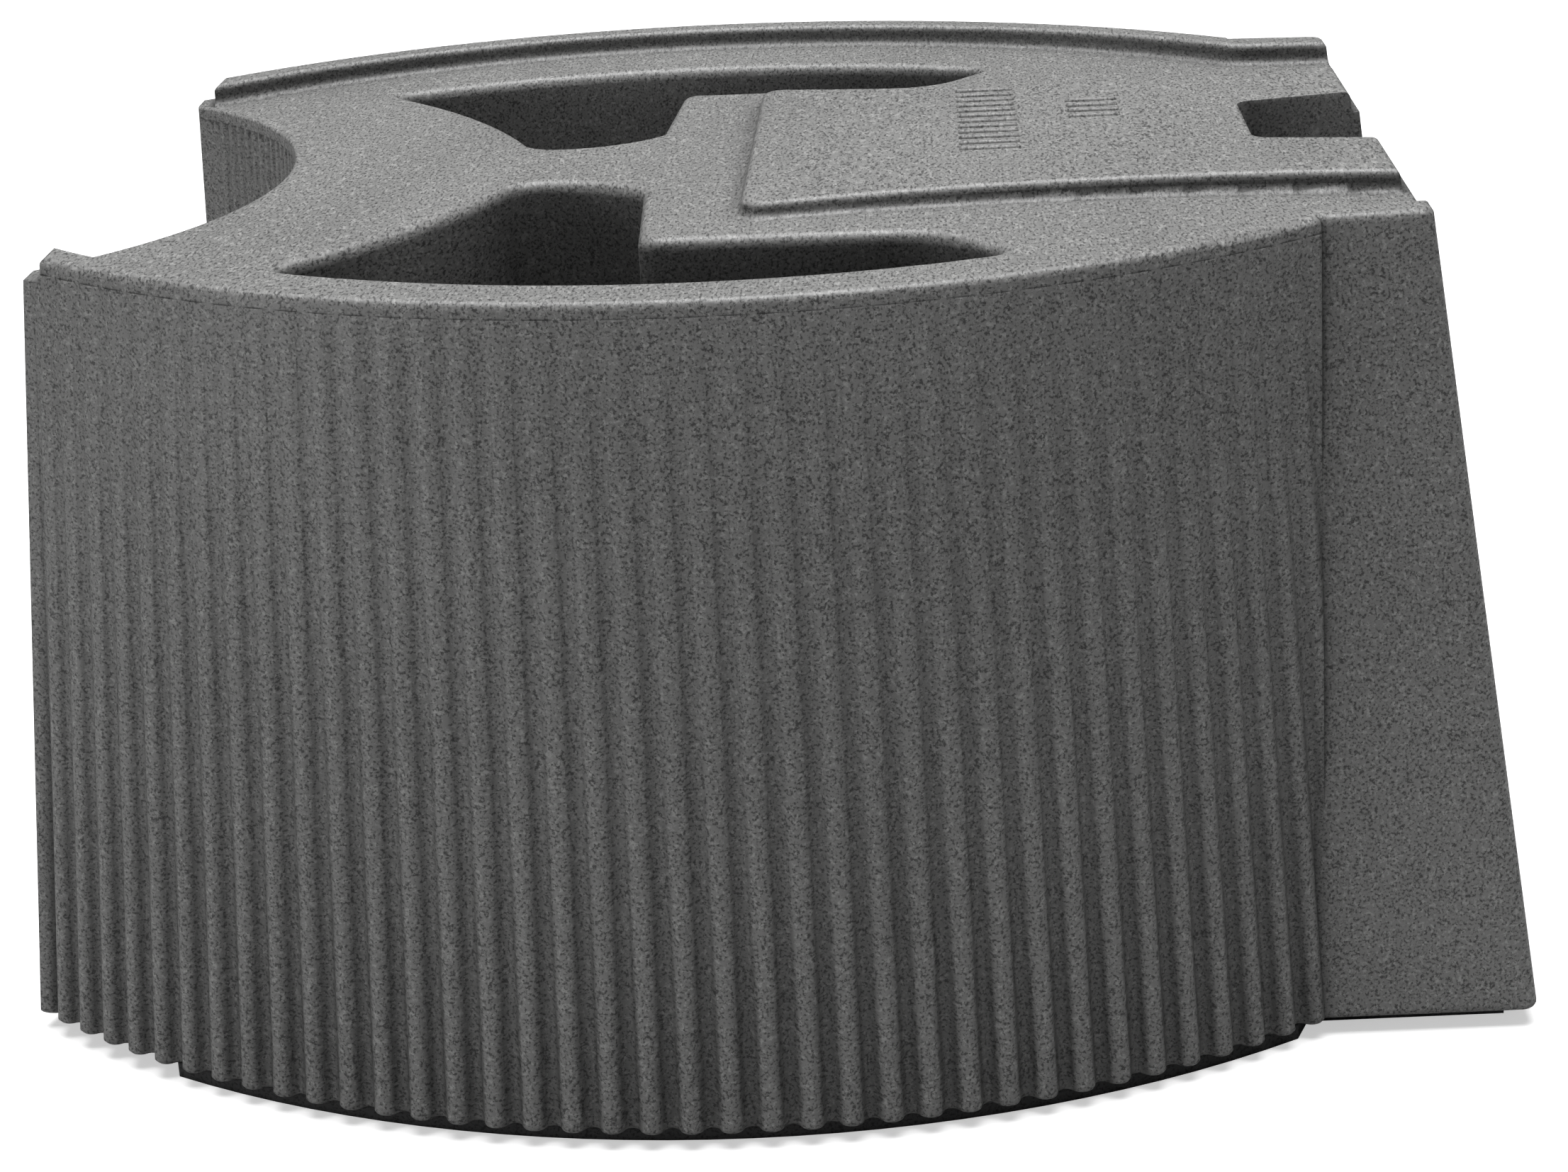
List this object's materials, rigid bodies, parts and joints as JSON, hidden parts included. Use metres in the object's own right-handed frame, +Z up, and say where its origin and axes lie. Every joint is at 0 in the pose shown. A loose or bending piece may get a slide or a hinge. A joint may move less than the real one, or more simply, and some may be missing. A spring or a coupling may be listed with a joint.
{
  "type": "door wedge",
  "caption": "Thick curved door wedge block with finely ribbed flanks, a round notch at one end, an open slot at the other, deep top pockets, low rims and a thin dark sole.",
  "frame": {"origin": "on the floor plane under the sole, midway between the feet of the arm tips and the foot of the end wall, on the plane of symmetry", "axes": "+X from the round notch towards the slotted end wall, +Y across the block, +Z up"},
  "size_m": [0.1118, 0.1138, 0.059],
  "materials": {
    "speckled_body": "matte, fine dark and light speckle",
    "dark_sole": "matte"
  },
  "bodies": {
    "root": {"wedge_body": "speckled_body", "sole_pad": "dark_sole"}
  },
  "joints": []
}
